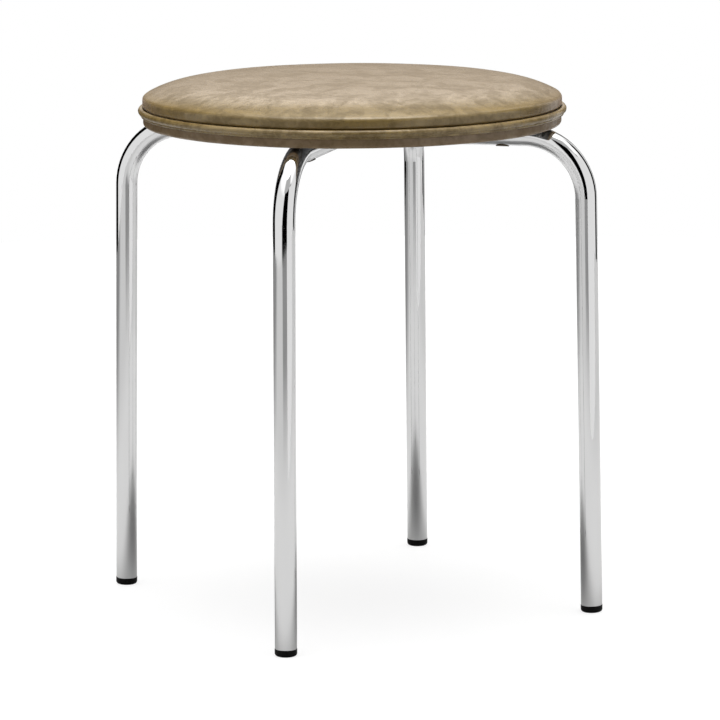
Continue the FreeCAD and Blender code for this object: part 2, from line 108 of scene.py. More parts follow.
class SeatSettings(bpy.types.PropertyGroup):
    """Sizes of the cushion and of what runs round its edge."""
    crown_fall: length("Crown fall", "Fall from the middle to the start of the shoulder", 0.0034)
    shoulder_width: length("Shoulder width", "From the crown's rim to the edge line", 0.0382)
    edge_proud: length("Edge proud", "Edge line past the board", 0.0018)
    edge_rise: length("Edge rise", "Edge line above the board", 0.0127)
    side_proud: length("Side proud", "Fullest part of the side past the board", 0.0032)
    tuck_proud: length("Tuck proud", "Foot of the side past the board", 0.0010)
    tuck_rise: length("Tuck rise", "Foot of the side above the board", 0.0026)
    swell: length("Swell", "How far the air pressure lifts the middle of the cover", 0.0025)
    unevenness: length("Unevenness", "Slow waves of a cover pulled tight by hand", 0.00018)
    roll_radius: length("Roll radius", "Piping's round roll", 0.0028)
    ridge_radius: length("Ridge radius", "Small ridge under the roll", 0.0012)
    ridge_drop: length("Ridge drop", "Ridge below the middle of the roll", 0.0035)
    ridge_back: length("Ridge back", "Ridge in from the middle of the roll", 0.0004)
    leather_thickness: length("Leatherette thickness", "Band and piping", 0.0008)
    band_corner: length("Band corner", "Lower corner of the band, at its middle line", 0.0022)
    hem_turn_radius: length("Hem turn", "Two turns of the hem, at its middle line", 0.0016)
    hem_reach: length("Hem reach", "Hem's inner edge, from the stool's axis", 0.1606)
    dust_sag: length("Dust cloth sag", "Cloth between the tubes below the board", 0.0012)


class FinishSettings(bpy.types.PropertyGroup):
    """Colours of the finishes."""
    cover_light: colour("Cover, light", "Rubbed patches of the leatherette", (0.315, 0.217, 0.072))
    cover_dark: colour("Cover, dark", "Waxed patches of the leatherette", (0.195, 0.131, 0.038))
    bloom: colour("Bloom", "Wax bloom that shows at flat angles", (1.0, 0.78, 0.70))
    piping_light: colour("Piping, light", "Rubbed top of the piping", (0.375, 0.262, 0.098))
    piping_dark: colour("Piping, dark", "Waxed body of the piping", (0.205, 0.137, 0.045))
    band_light: colour("Band, light", "Stretched leatherette of the band", (0.262, 0.170, 0.077))
    band_dark: colour("Band, dark", "Creases of the band", (0.200, 0.128, 0.056))
    chrome: colour("Chrome", "Plated tube", (0.705, 0.705, 0.705))
    weld: colour("Weld", "Plated weld bead", (0.52, 0.525, 0.53))
    plastic: colour("End caps", "Moulded plastic", (0.002, 0.002, 0.002))
    plug: colour("Hole plugs", "Moulded brown plastic", (0.080, 0.056, 0.030))
    steel: colour("Screws", "Zinc plated steel", (0.55, 0.55, 0.53))
    staple: colour("Staples", "Galvanised wire", (0.60, 0.60, 0.58))
    plywood: colour("Plywood", "Raw board", (0.52, 0.37, 0.21))
    fibre: colour("Tacking strip", "Pressed fibre", (0.36, 0.25, 0.14))
    cloth: colour("Dust cloth", "Spun cloth", (0.045, 0.045, 0.046))


class StageSettings(bpy.types.PropertyGroup):
    """Camera, floor and the light of the studio."""
    azimuth: angle("Azimuth", "Camera round the stool, from the front", 15.74)
    elevation: angle("Elevation", "Camera above the horizon", 10.28)
    roll: angle("Roll", "Camera about its own axis", -0.362)
    distance: length("Distance", "Camera to its target", 3.4)
    target_side: length("Target side", "Target to the right of the stool's axis", 0.0052)
    target_height: length("Target height", "Target above the floor", 0.20692)
    lens: bpy.props.FloatProperty(
        name="Lens", description="Focal length", default=199.86, unit="CAMERA")
    floor_radius: length("Floor radius", "Pale round floor", 2.52)
    floor_forward: length("Floor forward", "Middle of the floor towards the camera", 0.42)
    floor_shade: amount("Floor shade", "Reflectance of the floor", 0.80)
    floor_bounce: amount("Floor bounce", "Reflectance of the floor for light thrown back up", 0.40)
    core: amount("Lamp core", "Brightest part of the overhead light", 6.0)
    lamp: amount("Lamp rim", "Rest of the overhead light", 4.0)
    cove: amount("Cove", "Grey ceiling over the opening", 0.58)
    wall: amount("Walls", "White walls", 1.02)
    high_wall: amount("High walls", "Upper part of the walls", 1.45)
    left_screen: amount("Left screen", "Share of the left walls' light that falls on the stool", 0.30)
    right_screen: amount("Right screen", "Share of the right walls' light that falls on the stool", 0.50)
    sweep_low: amount("Sweep, low", "Pale sweep behind the stool, at the floor", 0.30)
    sweep_high: amount("Sweep, high", "Pale sweep behind the stool, at its top", 3.2)
    sweep_tint: colour("Sweep tint", "Warm white of the sweep", (1.0, 0.92, 0.86))
    opening_from: angle("Opening from", "Dark opening before the stool, its left end", -16)
    opening_to: angle("Opening to", "Dark opening before the stool, its right end", 50)
    card: amount("Card", "White card that stands before the opening's right part", 1.0)


# Meshes from arrays

def arc(centre, radius, first, last, count):
    """Points of a circle in the (radius, height) plane between two angles, in degrees from outwards."""
    turn = np.radians(np.linspace(first, last, count))
    return np.stack([centre[0] + radius * np.cos(turn), centre[1] + radius * np.sin(turn)], axis=1)


def spaced(outline, count):
    """The same open outline with its points at equal steps of arc length."""
    steps = np.linalg.norm(np.diff(outline, axis=0), axis=1)
    run = np.concatenate([[0.0], np.cumsum(steps)])
    at = np.linspace(0.0, run[-1], count)
    return np.stack([np.interp(at, run, outline[:, k]) for k in range(2)], axis=1)


def softened(outline, passes, closed=True):
    """An outline whose corners are eased: each pass takes a quarter of both neighbours. The ends of an
    open one stay where they are."""
    for _ in range(passes):
        eased = outline / 2 + (np.roll(outline, 1, axis=0) + np.roll(outline, -1, axis=0)) / 4
        if not closed:
            eased[[0, -1]] = outline[[0, -1]]
        outline = eased
    return outline


def waves(turn, terms):
    """Sum of sines round the seat; each term gives height, count per turn and phase."""
    return sum(size * np.sin(count * turn + phase) for size, count, phase in terms)


def turned(outline, columns):
    """An outline of (radius, height) points turned about the stool's axis, as a grid of points."""
    turn = np.linspace(0.0, 2 * np.pi, columns, endpoint=False) + np.pi / 2
    radius = outline[:, 0, None]
    height = np.broadcast_to(outline[:, 1, None], (len(outline), columns))
    return np.stack([radius * np.cos(turn), radius * np.sin(turn), height], axis=2), turn


def corner_runs(grid, closed):
    """Metres along the rows and round the columns at each grid line, for the UV map."""
    rows = np.concatenate([grid, grid[:1]]) if closed else grid
    down = np.linalg.norm(np.diff(rows[:, 0], axis=0), axis=1)
    around = 2 * np.pi * np.linalg.norm(grid[:, 0, :2], axis=1).max()
    across = np.linspace(0.0, around, grid.shape[1] + 1)
    return across, np.concatenate([[0.0], np.cumsum(down)])


def ring_mesh(name, grid, closed=False, poles=()):
    """Mesh of a grid that goes once round the axis. Rows join their neighbours, the last column joins the
    first, a closed outline joins its last row to its first, and poles close the first and the last row."""
    rows, columns = grid.shape[:2]
    index = np.arange(rows * columns).reshape(rows, columns)
    lower = np.roll(index, -1, axis=0)[: rows if closed else rows - 1]
    upper = index[: len(lower)]
    quads = np.stack([upper, lower, np.roll(lower, -1, axis=1), np.roll(upper, -1, axis=1)], axis=2)
    across, along = corner_runs(grid, closed)
    u0, u1 = across[None, :-1], across[None, 1:]
    v0, v1 = along[: len(lower), None], along[1 : len(lower) + 1, None]
    uv = [(u0, v0), (u0, v1), (u1, v1), (u1, v0)]
    uv = np.stack([np.stack(np.broadcast_arrays(u, v), axis=2) for u, v in uv], axis=2)
    faces = quads.reshape(-1, 4).tolist()
    corners = [uv.reshape(-1, 2)]
    points = [grid.reshape(-1, 3)]
    for place, (row, order) in zip(poles, ((index[0], (0, 1, 2)), (index[-1], (0, 2, 1)))):
        tip = np.full(columns, rows * columns + len(points) - 1)
        fan = np.stack([tip, row, np.roll(row, -1)], axis=1)[:, order]
        faces += fan.tolist()
        points.append(np.array([place], float))
        end = along[0] if row[0] == 0 else along[-1]
        fan_uv = np.stack([(across[:-1] + across[1:]) / 2, across[:-1], across[1:]], axis=1)[:, order]
        corners.append(np.stack([fan_uv.ravel(), np.full(3 * columns, end)], axis=1))
    mesh = bpy.data.meshes.new(name)
    mesh.from_pydata(np.concatenate(points), [], faces)
    layer = mesh.uv_layers.new(name="UVMap")
    layer.data.foreach_set("uv", np.concatenate(corners).astype(np.float32).ravel())
    mesh.shade_smooth()
    mesh.update()
    return mesh


def placed(name, mesh, material, slot, *nodes):
    """Object of a mesh in the stool's frame, standing for these solids."""
    piece = bpy.data.objects.new(name, mesh)
    bpy.context.scene.collection.objects.link(piece)
    mesh.materials.append(material)
    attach(piece, "root")
    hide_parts(*nodes)
    return piece


def smoothed(piece, levels):
    """Finish a piece with a subdivision surface."""
    surface = piece.modifiers.new("smooth", "SUBSURF")
    surface.levels = levels
    surface.render_levels = levels


def dress(material, *names):
    """Give carried-over solids a finish."""
    for name in names:
        slots = frame["nodes"][name].data.materials
        slots.clear()
        slots.append(material)


# Shader building blocks

def add(tree, kind, values=None, **settings):
    """New node with its settings and the values or links of its inputs."""
    node = tree.nodes.new(kind)
    for key, value in settings.items():
        setattr(node, key, value)
    for key, value in (values or {}).items():
        feed(tree, node.inputs[key], value)
    return node


def feed(tree, socket, value):
    """Link an output to a socket, or set the socket's own value."""
    if isinstance(value, bpy.types.NodeSocket):
        tree.links.new(value, socket)
    else:
        socket.default_value = value


def maths(tree, operation, first, second=0.0, third=0.0):
    """One step of arithmetic."""
    return add(tree, "ShaderNodeMath", {0: first, 1: second, 2: third}, operation=operation).outputs[0]


def ramped(tree, value, low, high, to_low=0.0, to_high=1.0, smooth=True):
    """A value moved from one range to another and held at its ends."""
    kind = "SMOOTHSTEP" if smooth else "LINEAR"
    inputs = {"Value": value, "From Min": low, "From Max": high, "To Min": to_low, "To Max": to_high}
    return add(tree, "ShaderNodeMapRange", inputs, interpolation_type=kind).outputs["Result"]


def between(tree, value, low, high, soft):
    """1 inside a range of values and 0 outside, with soft ends."""
    rise = ramped(tree, value, low - soft, low + soft)
    fall = ramped(tree, value, high - soft, high + soft, 1.0, 0.0)
    return maths(tree, "MULTIPLY", rise, fall)


def blend(tree, share, first, second):
    """Two values mixed by a share."""
    return add(tree, "ShaderNodeMix", {0: share, 2: first, 3: second}, data_type="FLOAT").outputs[0]


def product(tree, first, *others):
    """Values multiplied together."""
    for other in others:
        first = maths(tree, "MULTIPLY", first, other)
    return first


def inverse(tree, share):
    """What a share leaves of 1."""
    return maths(tree, "SUBTRACT", 1.0, share)


def scaled(tree, tone, factor):
    """A colour times a factor."""
    return add(tree, "ShaderNodeVectorMath", {0: tone, "Scale": factor}, operation="SCALE").outputs[0]


def blend_colours(tree, share, first, second):
    """Two colours mixed by a share."""
    node = add(tree, "ShaderNodeMix", {0: share}, data_type="RGBA")
    for socket, value in ((node.inputs[6], first), (node.inputs[7], second)):
        feed(tree, socket, value if isinstance(value, bpy.types.NodeSocket) else (*value, 1.0))
    return node.outputs[2]


def noise(tree, vector, scale, detail=2.0, roughness=0.5, distortion=0.0):
    """Fractal noise, 0 to 1."""
    inputs = {"Vector": vector, "Scale": scale, "Detail": detail, "Roughness": roughness,
              "Distortion": distortion}
    return add(tree, "ShaderNodeTexNoise", inputs).outputs["Fac"]


def stretched(tree, vector, scale):
    """Coordinates scaled along each axis."""
    return add(tree, "ShaderNodeMapping", {"Vector": vector, "Scale": scale}).outputs["Vector"]


def new_group(name, inputs, outputs):
    """Empty shader group with named float and vector sockets, and its two end nodes."""
    tree = bpy.data.node_groups.new(name, "ShaderNodeTree")
    for label, kind, value in inputs:
        socket = tree.interface.new_socket(label, in_out="INPUT", socket_type=kind)
        if value is not None:
            socket.default_value = value
    for label in outputs:
        tree.interface.new_socket(label, in_out="OUTPUT", socket_type="NodeSocketFloat")
    return tree, tree.nodes.new("NodeGroupInput").outputs, tree.nodes.new("NodeGroupOutput").inputs


def hide_grain(name):
    """Fine pebbled grain: small cells with rounded tops, broken by a few longer creases."""
    tree, given, out = new_group(
        name,
        [("Vector", "NodeSocketVector", None), ("Cells per metre", "NodeSocketFloat", 900.0)],
        ["Height", "Creases"])
    cells_per_metre = given["Cells per metre"]
    warp = noise(tree, given["Vector"], maths(tree, "MULTIPLY", cells_per_metre, 0.35))
    step = maths(tree, "MULTIPLY", maths(tree, "SUBTRACT", warp, 0.5), 0.0008)
    shift = add(tree, "ShaderNodeVectorMath", {0: given["Vector"], 1: step}, operation="ADD")
    cells = add(tree, "ShaderNodeTexVoronoi",
                {"Vector": shift.outputs[0], "Scale": cells_per_metre, "Smoothness": 0.6},
                feature="SMOOTH_F1").outputs["Distance"]
    tops = ramped(tree, cells, 0.05, 0.75, 1.0, 0.0)
    lines = noise(tree, given["Vector"], maths(tree, "MULTIPLY", cells_per_metre, 0.12), 4.0, 0.6)
    off_line = maths(tree, "ABSOLUTE", maths(tree, "SUBTRACT", lines, 0.5))
    crease = ramped(tree, off_line, 0.0, 0.035, 1.0, 0.0)
    tree.links.new(maths(tree, "SUBTRACT", tops, maths(tree, "MULTIPLY", crease, 0.6)), out["Height"])
    tree.links.new(crease, out["Creases"])
    return tree


def wax_mottle(name):
    """Cloudy wax: broad patches, smears inside them, fine flecks inside those, and a soft crumple."""
    tree, given, out = new_group(
        name,
        [("Vector", "NodeSocketVector", None), ("Patch size", "NodeSocketFloat", 0.03)],
        ["Patches", "Smears", "Flecks", "Crumple"])
    per_metre = maths(tree, "DIVIDE", 1.0, given["Patch size"])
    broad = noise(tree, given["Vector"], per_metre, 3.0, 0.55, 0.6)
    fine = noise(tree, given["Vector"], maths(tree, "MULTIPLY", per_metre, 3.7), 3.0, 0.6, 0.9)
    flecks = noise(tree, given["Vector"], maths(tree, "MULTIPLY", per_metre, 11.0), 3.0, 0.6, 0.5)
    tree.links.new(ramped(tree, broad, 0.36, 0.64), out["Patches"])
    tree.links.new(ramped(tree, fine, 0.36, 0.64), out["Smears"])
    tree.links.new(ramped(tree, flecks, 0.34, 0.66), out["Flecks"])
    soft = noise(tree, given["Vector"], maths(tree, "MULTIPLY", per_metre, 3.0), 2.0, 0.5, 0.4)
    tree.links.new(soft, out["Crumple"])
    return tree


def drawn_metal(name):
    """Faint lines along a drawn bar or wire, and a cloud that dulls the polish a little."""
    tree, given, out = new_group(
        name,
        [("Vector", "NodeSocketVector", None), ("Lines per metre", "NodeSocketFloat", 500.0)],
        ["Lines", "Dulling"])
    thin = stretched(tree, given["Vector"], (1.0, 1.0, 0.012))
    tree.links.new(noise(tree, thin, given["Lines per metre"], 2.0, 0.5), out["Lines"])
    tree.links.new(noise(tree, given["Vector"], 30.0, 3.0, 0.6), out["Dulling"])
    return tree


def wood_fibre(name):
    """Fibres drawn out along X, with darker pores between them."""
    tree, given, out = new_group(
        name,
        [("Vector", "NodeSocketVector", None), ("Fibres per metre", "NodeSocketFloat", 300.0)],
        ["Shade", "Pores"])
    drawn = stretched(tree, given["Vector"], (0.06, 1.0, 1.0))
    shade = noise(tree, drawn, maths(tree, "MULTIPLY", given["Fibres per metre"], 0.2), 4.0, 0.6, 1.2)
    pores = noise(tree, drawn, given["Fibres per metre"], 2.0, 0.5)
    tree.links.new(shade, out["Shade"])
    tree.links.new(ramped(tree, pores, 0.58, 0.72), out["Pores"])
    return tree


GROUPS = {
    "Hide grain": hide_grain,
    "Wax mottle": wax_mottle,
    "Drawn metal": drawn_metal,
    "Wood fibre": wood_fibre,
}


def use_group(tree, name, values):
    """A shared group, built once, placed in a material."""
    shared = bpy.data.node_groups.get(name) or GROUPS[name](name)
    return add(tree, "ShaderNodeGroup", values, node_tree=shared).outputs


def new_material(name):
    """Empty material with a Principled shader, and Object coordinates."""
    material = bpy.data.materials.new(name)
    material.use_nodes = True
    tree = material.node_tree
    shader = tree.nodes["Principled BSDF"]
    where = tree.nodes.new("ShaderNodeTexCoord")
    return material, tree, shader, where.outputs["Object"]


def bumped(tree, shader, height, depth):
    """Relief from a height map, its depth in metres."""
    node = add(tree, "ShaderNodeBump", {"Height": height, "Distance": depth})
    tree.links.new(node.outputs["Normal"], shader.inputs["Normal"])


def set_shader(shader, **values):
    """Constant values, set on the shader's own sockets."""
    for key, value in values.items():
        shader.inputs[key.replace("_", " ")].default_value = value


def leatherette(name, light, dark, shade, *, patch, gloss, bloom):
    """Waxed leatherette: mottled colour, darker creases, a pale bloom at flat angles, a pebbled grain and a
    soft crumple. The shade is a function that gives a multiple of the colour at each place, painted shade and
    painted highlight, and the patch is the size of the broad patches in metres."""
    material, tree, shader, where = new_material(name)
    mottle = use_group(tree, "Wax mottle", {"Vector": where, "Patch size": patch})
    grain = use_group(tree, "Hide grain", {"Vector": where, "Cells per metre": 950.0})
    share = maths(tree, "MULTIPLY", mottle["Patches"], 0.48)
    share = maths(tree, "MULTIPLY_ADD", mottle["Smears"], 0.36, share)
    share = maths(tree, "MULTIPLY_ADD", mottle["Flecks"], 0.16, share)
    tone = blend_colours(tree, ramped(tree, share, 0.2, 0.8, smooth=False), dark, light)
    tone = blend_colours(tree, maths(tree, "MULTIPLY", grain["Creases"], 0.2), tone, dark)
    # The colour times the shade: painted shade and painted highlight
    tree.links.new(scaled(tree, tone, shade(tree, where)), shader.inputs["Base Color"])
    tree.links.new(ramped(tree, share, 0.1, 0.9, gloss + 0.05, gloss - 0.05), shader.inputs["Roughness"])
    tree.links.new(ramped(tree, share, 0.15, 0.85, 0.08, 0.5), shader.inputs["Coat Weight"])
    set_shader(shader, Coat_Roughness=gloss, Specular_IOR_Level=0.4)
    tint = (*bpy.context.scene.stool_finish.bloom, 1.0)
    set_shader(shader, Sheen_Weight=bloom, Sheen_Roughness=0.4, Sheen_Tint=tint)
    relief = maths(tree, "MULTIPLY_ADD", grain["Height"], 0.04, mottle["Crumple"])
    bumped(tree, shader, relief, 0.0003)
    return material


def by_height(low, high, least, edge):
    """Painted shade that lifts between two heights, times a painted highlight in a band at an edge."""
    below, above, soft, highlight_gain = 0.0004, 0.0028, 0.0014, 0.18

    def shade(tree, where):
        height = add(tree, "ShaderNodeSeparateXYZ", {0: where}).outputs["Z"]
        # Painted highlight: a band just above the edge line gets its colour raised
        line = between(tree, height, edge - below, edge + above, soft)
        lift = maths(tree, "MULTIPLY_ADD", line, highlight_gain, 1.0)
        return maths(tree, "MULTIPLY", ramped(tree, height, low, high, least, 1.0), lift)
    return shade


def by_radius(low, high, least):
    """Painted shade that lifts between two distances from the stool's axis."""
    def shade(tree, where):
        flat = add(tree, "ShaderNodeVectorMath", {0: where, 1: (1.0, 1.0, 0.0)}, operation="MULTIPLY")
        radius = add(tree, "ShaderNodeVectorMath", {0: flat.outputs[0]}, operation="LENGTH").outputs["Value"]
        return ramped(tree, radius, low, high, least, 1.0)
    return shade


# Operators

class StoolOperator:
    """What every step shares."""
    bl_options = {"REGISTER", "UNDO"}


class STOOL_OT_tube_frame(StoolOperator, bpy.types.Operator):
    """Plate the tubes with chrome and the weld beads to match"""
    bl_idname = "stool.tube_frame"
    bl_label = "Tube frame"

    def execute(self, context):
        finish = context.scene.stool_finish
        material, tree, shader, where = new_material("chrome_plate")
        metal = use_group(tree, "Drawn metal", {"Vector": where, "Lines per metre": 420.0})
        height = add(tree, "ShaderNodeSeparateXYZ", {0: where}).outputs["Z"]
        legs = ramped(tree, height, 0.30, 0.36, 1.0, 0.0)
        set_shader(shader, Metallic=1.0, Base_Color=(*finish.chrome, 1.0))
        tree.links.new(ramped(tree, metal["Dulling"], 0.3, 0.7, 0.025, 0.06), shader.inputs["Roughness"])
        bumped(tree, shader, maths(tree, "MULTIPLY", metal["Lines"], legs), 0.00002)
        dress(material, "main_tube", "front_leg_tube", "rear_leg_tube")

        material, tree, shader, where = new_material("weld_plate")
        ripple = noise(tree, where, 700.0, 3.0, 0.6)
        set_shader(shader, Metallic=1.0)
        tree.links.new(blend_colours(tree, ripple, [0.7 * c for c in finish.weld], finish.weld),
                       shader.inputs["Base Color"])
        tree.links.new(ramped(tree, ripple, 0.3, 0.7, 0.18, 0.34), shader.inputs["Roughness"])
        bumped(tree, shader, ripple, 0.0003)
        dress(material, "weld_beads")
        return {"FINISHED"}


class STOOL_OT_plastic_ends(StoolOperator, bpy.types.Operator):
    """Give the end caps and the hole plugs their moulded plastic"""
    bl_idname = "stool.plastic_ends"
    bl_label = "Foot caps and hole plugs"

    def execute(self, context):
        finish = context.scene.stool_finish
        caps = ["foot_cap_" + side for side in ("left", "right", "front", "rear")]
        for name, base, nodes in (("black_plastic", finish.plastic, caps),
                                  ("brown_plastic", finish.plug, ["hole_plugs"])):
            material, tree, shader, where = new_material(name)
            skin = noise(tree, where, 1800.0, 2.0, 0.5)
            scuffs = ramped(tree, noise(tree, where, 160.0, 4.0, 0.65), 0.55, 0.75)
            worn = maths(tree, "MULTIPLY", scuffs, 0.35)
            tone = blend_colours(tree, worn, base, [2.0 * c for c in base])
            tree.links.new(tone, shader.inputs["Base Color"])
            tree.links.new(ramped(tree, scuffs, 0.0, 1.0, 0.42, 0.58), shader.inputs["Roughness"])
            set_shader(shader, Specular_IOR_Level=0.1)
            bumped(tree, shader, skin, 0.00004)
            dress(material, *nodes)
        return {"FINISHED"}


class STOOL_OT_fasteners(StoolOperator, bpy.types.Operator):
    """Finish the screws, the tee nuts and the staples"""
    bl_idname = "stool.fasteners"
    bl_label = "Fasteners"

    def execute(self, context):
        finish = context.scene.stool_finish
        for name, base, lines, rough, nodes in (
            ("zinc_plate", finish.steel, 1500.0, 0.30, ("seat_screws", "tee_nuts")),
            ("galvanised_wire", finish.staple, 2500.0, 0.36, ("band_staples", "dust_cover_staples")),
        ):
            material, tree, shader, where = new_material(name)
            metal = use_group(tree, "Drawn metal", {"Vector": where, "Lines per metre": lines})
            set_shader(shader, Metallic=1.0)
            tone = blend_colours(tree, metal["Dulling"], base, [0.75 * c for c in base])
            tree.links.new(tone, shader.inputs["Base Color"])
            tree.links.new(ramped(tree, metal["Lines"], 0.3, 0.7, rough - 0.06, rough + 0.08),
                           shader.inputs["Roughness"])
            bumped(tree, shader, metal["Lines"], 0.00003)
            dress(material, *nodes)
        return {"FINISHED"}


class STOOL_OT_seat_core(StoolOperator, bpy.types.Operator):
    """Finish the plywood board and the tacking strip"""
    bl_idname = "stool.seat_core"
    bl_label = "Seat core"

    def execute(self, context):
        finish = context.scene.stool_finish
        for name, base, fibres, node in (
            ("plywood", finish.plywood, 260.0, "seat_board"),
            ("pressed_fibre", finish.fibre, 900.0, "rim_strip"),
        ):
            material, tree, shader, where = new_material(name)
            wood = use_group(tree, "Wood fibre", {"Vector": where, "Fibres per metre": fibres})
            tone = blend_colours(tree, wood["Shade"], [0.7 * c for c in base], base)
            pores = maths(tree, "MULTIPLY", wood["Pores"], 0.5)
            tone = blend_colours(tree, pores, tone, [0.45 * c for c in base])
            tree.links.new(tone, shader.inputs["Base Color"])
            set_shader(shader, Roughness=0.72)
            bumped(tree, shader, wood["Pores"], 0.0001)
            dress(material, node)
        return {"FINISHED"}


def cushion_outline(seat):
    """Outline from the middle of the cushion over the crown, the shoulder and the side to its underside.
    The crown is a shallow arc, the shoulder an arc that leaves it without a crease and ends on the edge
    line, and the side falls steeply from there, with the edge line eased, and turns in at the tuck."""
    first_ring, inner_ring, rest_ring = 0.010, 0.080, 0.012
    edge_ease, tuck_ease, lap, lap_rise, clearance = 0.0019, 0.0018, 0.0010, 0.0004, 0.0003
    board_r, board_z = board_high.x, board_high.z
    edge = np.array([board_r + seat.edge_proud, board_z + seat.edge_rise])
    rim = np.array([edge[0] - seat.shoulder_width, cover_top.z - seat.crown_fall])
    crown_r = (rim[0] ** 2 + seat.crown_fall ** 2) / (2 * seat.crown_fall)
    radius = np.linspace(first_ring, rim[0], 26)
    crown = np.stack([radius, cover_top.z - crown_r + np.sqrt(crown_r ** 2 - radius ** 2)], axis=1)
    inward = np.array([0.0, cover_top.z - crown_r]) - rim
    inward /= np.linalg.norm(inward)
    chord = edge - rim
    shoulder_r = chord @ chord / (2 * chord @ inward)
    middle = rim + inward * shoulder_r
    radius = np.linspace(rim[0], edge[0], 60)
    rise = np.sqrt(shoulder_r ** 2 - (radius - middle[0]) ** 2)
    shoulder = np.stack([radius, middle[1] + rise], axis=1)
    fullest, tuck_z = board_r + seat.side_proud, board_z + seat.tuck_rise
    side = np.array([
        [fullest, edge[1] - edge_ease],
        [fullest, tuck_z + tuck_ease],
        [board_r + seat.tuck_proud, tuck_z],
        [board_r - lap, board_z + lap_rise],
    ])
    skirt = softened(spaced(np.concatenate([shoulder, side]), 108), 4, closed=False)[2::2]
    rings = np.array([board_r - rest_ring, inner_ring, first_ring])
    under = np.stack([rings, np.full(3, board_z + clearance)], axis=1)
    return np.concatenate([crown, skirt, under]), len(under)


def inflate(piece, held, pressure, frames):
    """Points of a closed cover after air pressure has swollen it, with some points held."""
    pinned = piece.vertex_groups.new(name="held")
    pinned.add(np.flatnonzero(held).tolist(), 1.0, "REPLACE")
    cloth = piece.modifiers.new("swell", "CLOTH")
    cloth.settings.quality = 6
    cloth.settings.mass = 0.3
    cloth.settings.tension_stiffness = 25.0
    cloth.settings.compression_stiffness = 25.0
    cloth.settings.shear_stiffness = 8.0
    cloth.settings.bending_stiffness = 2.0
    cloth.settings.use_pressure = True
    cloth.settings.uniform_pressure_force = pressure
    cloth.settings.vertex_group_mass = pinned.name
    cloth.settings.effector_weights.gravity = 0.0
    cloth.point_cache.frame_start = 1
    cloth.point_cache.frame_end = frames
    scene = bpy.context.scene
    for number in range(1, frames + 1):
        scene.frame_set(number)
    swollen = piece.evaluated_get(bpy.context.evaluated_depsgraph_get()).to_mesh()
    points = np.empty(3 * len(swollen.vertices), np.float32)
    swollen.vertices.foreach_get("co", points)
    piece.modifiers.remove(cloth)
    piece.vertex_groups.remove(pinned)
    scene.frame_set(1)
    return points.reshape(-1, 3)


def calmed(move, rows, keep):
    """Moves of a turned grid with only the slow waves round each row kept."""
    grid, tips = move[:-2].reshape(rows, -1, 3), move[-2:]
    spectrum = np.fft.rfft(grid, axis=1)
    spectrum[:, keep:] = 0
    return np.concatenate([np.fft.irfft(spectrum, grid.shape[1], axis=1).reshape(-1, 3), tips])


class STOOL_OT_cushion(StoolOperator, bpy.types.Operator):
    """Upholster the cushion: a flatter cover is swollen by air pressure up to its full crown"""
    bl_idname = "stool.cushion"
    bl_label = "Cushion"

    def execute(self, context):
        seat = context.scene.stool_seat
        finish = context.scene.stool_finish
        outline, under = cushion_outline(seat)
        grid, turn = turned(outline, 144)
        rows = len(outline)
        # The cover starts lower by a bell over the radius, and sines along the edge line tug at it
        top = np.arange(rows) < rows - under
        reach = outline[:, 0] / outline[:, 0].max()
        lowered = np.where(top, seat.swell * (1 - reach ** 2) ** 2, 0.0)
        grid[:, :, 2] -= lowered[:, None]
        tug = waves(turn, ((0.5, 9, 0.4), (0.4, 14, 2.1), (0.35, 23, 4.0), (0.25, 37, 1.2)))
        edge_r = board_high.x + seat.edge_proud
        tug_width = 0.006
        near_edge = np.where(top, np.exp(-((outline[:, 0] - edge_r) / tug_width) ** 2), 0.0)
        grid[:, :, 2] += seat.unevenness * near_edge[:, None] * tug
        poles = ((0.0, 0.0, grid[0, 0, 2]), (0.0, 0.0, grid[-1, 0, 2]))
        mesh = ring_mesh("seat_cushion", grid, poles=poles)
        foot, edge_z = board_high.z + seat.tuck_rise, board_high.z + seat.edge_rise
        # Painted shade: the cover's colour falls to 0.15 of itself down at the tuck, and a painted highlight
        # lightens a band along the edge line
        shade = by_height(foot - 0.0010, foot + 0.0022, 0.15, edge_z)
        cover = leatherette("cover_leatherette", finish.cover_light, finish.cover_dark, shade,
                            patch=0.028, gloss=0.29, bloom=0.36)
        piece = placed("seat_cushion", mesh, cover, "leatherette",
                       "seat_cover", "wadding_layer", "foam_pad")
        start = np.empty(3 * len(mesh.vertices), np.float32)
        mesh.vertices.foreach_get("co", start)
        start = start.reshape(-1, 3)
        swollen = inflate(piece, held=start[:, 2] < edge_z, pressure=4.0, frames=20)
        move = calmed(swollen - start, rows, keep=12)
        move *= seat.swell / np.linalg.norm(move, axis=1).max()
        mesh.vertices.foreach_set("co", (start + move).ravel())
        mesh.update()
        smoothed(piece, 1)
        return {"FINISHED"}


